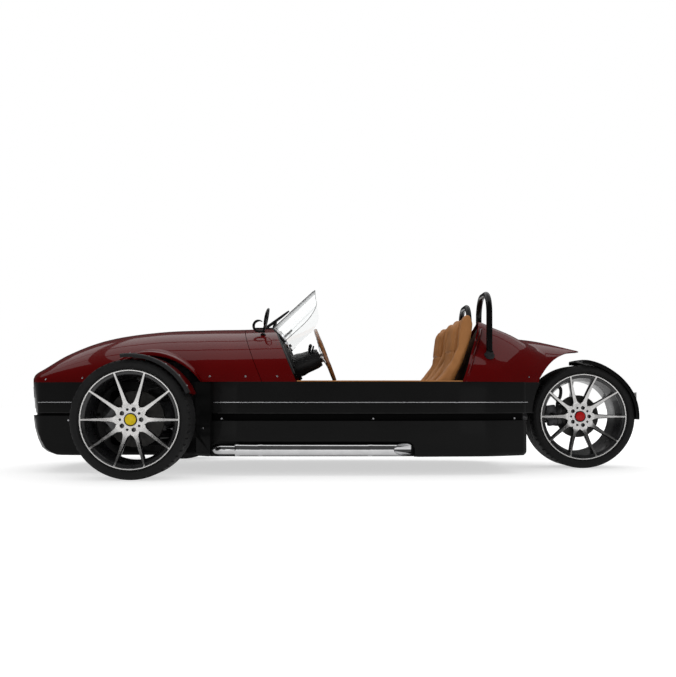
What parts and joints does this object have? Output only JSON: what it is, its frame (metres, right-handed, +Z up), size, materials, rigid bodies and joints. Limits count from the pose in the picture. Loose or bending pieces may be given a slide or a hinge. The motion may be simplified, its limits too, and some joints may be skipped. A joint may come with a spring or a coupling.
{
  "type": "three wheeled car",
  "caption": "Open side-by-side two-seat three wheeled roadster: steered front wheels under cycle wings, single rear wheel on a swing arm, side exhausts and roll hoops.",
  "frame": {"origin": "centre of the whole car's box, on the floor under the tyres", "axes": "+X to the tail along the car, +Y to the car's right side, +Z up"},
  "size_m": [3.652, 1.79, 1.0903],
  "materials": {
    "body_black": "gloss black",
    "body_maroon": "deep maroon gloss",
    "fender_maroon": "deep maroon gloss with a dark edge",
    "fender_black": "gloss black",
    "mesh_black": "black mesh",
    "lamp_glass": "clear lens over a bright bowl",
    "lamp_red": "red lens",
    "underside": "black coat",
    "cabin_black": "grained black",
    "hoop_black": "gloss black coat",
    "screen": "clear",
    "mirror_black": "gloss black",
    "seat_leather": "tan",
    "control_alloy": "brushed",
    "exhaust_chrome": "polished",
    "engine_grey": "as cast",
    "frame_black": "black coat",
    "damper_steel": "plated",
    "knuckle_alloy": "cast",
    "tyre_rubber": "black rubber",
    "rim_machined": "machined faces, black sides",
    "disc_iron": "ground faces",
    "wheel_wood": "varnished rim"
  },
  "bodies": {
    "chassis": {"side_panel_left": "body_black", "side_panel_right": "body_black", "nose_panel": "body_black", "grille": "mesh_black", "headlamps": "lamp_glass", "floor_pan": "underside", "firewall": "underside", "rear_bulkhead": "cabin_black", "hood": "body_maroon", "cowl": "body_maroon", "rear_deck": "body_maroon", "roll_hoops": "hoop_black", "dashboard": "cabin_black", "windscreen": "screen", "mirrors": "mirror_black", "sill_trim": "seat_leather", "seat_left": "seat_leather", "seat_right": "seat_leather", "steering_column": "cabin_black", "pedals": "control_alloy", "exhausts": "exhaust_chrome", "engine_block": "engine_grey", "wishbones": "frame_black", "front_frame": "frame_black", "dampers": "damper_steel", "half_shafts": "damper_steel", "swing_arm": "frame_black", "rear_damper": "damper_steel", "rear_fender": "fender_black", "tail_lamp": "lamp_red"},
    "left_upright": {"knuckle_left": "knuckle_alloy", "front_fender_left": "fender_maroon"},
    "right_upright": {"knuckle_right": "knuckle_alloy", "front_fender_right": "fender_maroon"},
    "left_wheel": {"front_tyre_left": "tyre_rubber", "front_rim_left": "rim_machined", "front_hub_left": "disc_iron"},
    "right_wheel": {"front_tyre_right": "tyre_rubber", "front_rim_right": "rim_machined", "front_hub_right": "disc_iron"},
    "rear_wheel": {"rear_tyre": "tyre_rubber", "rear_rim": "rim_machined", "rear_hub": "disc_iron"},
    "steering_wheel_body": {"steering_wheel": "wheel_wood"},
    "steering_rack": {"rack": "damper_steel"}
  },
  "joints": [
    {"name": "steer_left", "type": "hinge", "parent": "chassis", "child": "left_upright", "pos_m": [-1.073, -0.655, 0.313], "axis": [0, 0, 1], "range_deg": [-28, 28]},
    {"name": "steer_right", "type": "hinge", "parent": "chassis", "child": "right_upright", "pos_m": [-1.073, 0.655, 0.313], "axis": [0, 0, 1], "range_deg": [-28, 28]},
    {"name": "steering_wheel_turn", "type": "hinge", "parent": "chassis", "child": "steering_wheel_body", "pos_m": [-0.069, -0.3, 0.675], "axis": [0.9336, 0, 0.3584], "range_deg": [-336, 336]},
    {"name": "rack_slide", "type": "slide", "parent": "chassis", "child": "steering_rack", "axis": [0, 1, 0], "range_m": [-0.064, 0.064]},
    {"name": "spin_left", "type": "hinge", "parent": "left_upright", "child": "left_wheel", "pos_m": [-1.073, -0.78, 0.313], "axis": [0, 1, 0], "continuous": true},
    {"name": "spin_right", "type": "hinge", "parent": "right_upright", "child": "right_wheel", "pos_m": [-1.073, 0.78, 0.313], "axis": [0, 1, 0], "continuous": true},
    {"name": "spin_rear", "type": "hinge", "parent": "chassis", "child": "rear_wheel", "pos_m": [1.495, 0, 0.313], "axis": [0, 1, 0], "continuous": true}
  ],
  "couplings": [
    {"joint": "steer_right", "follows": "steer_left", "ratio": 1},
    {"joint": "steering_wheel_turn", "follows": "steer_left", "ratio": 12},
    {"joint": "rack_slide", "follows": "steer_left", "m_per_rad": 0.13}
  ]
}
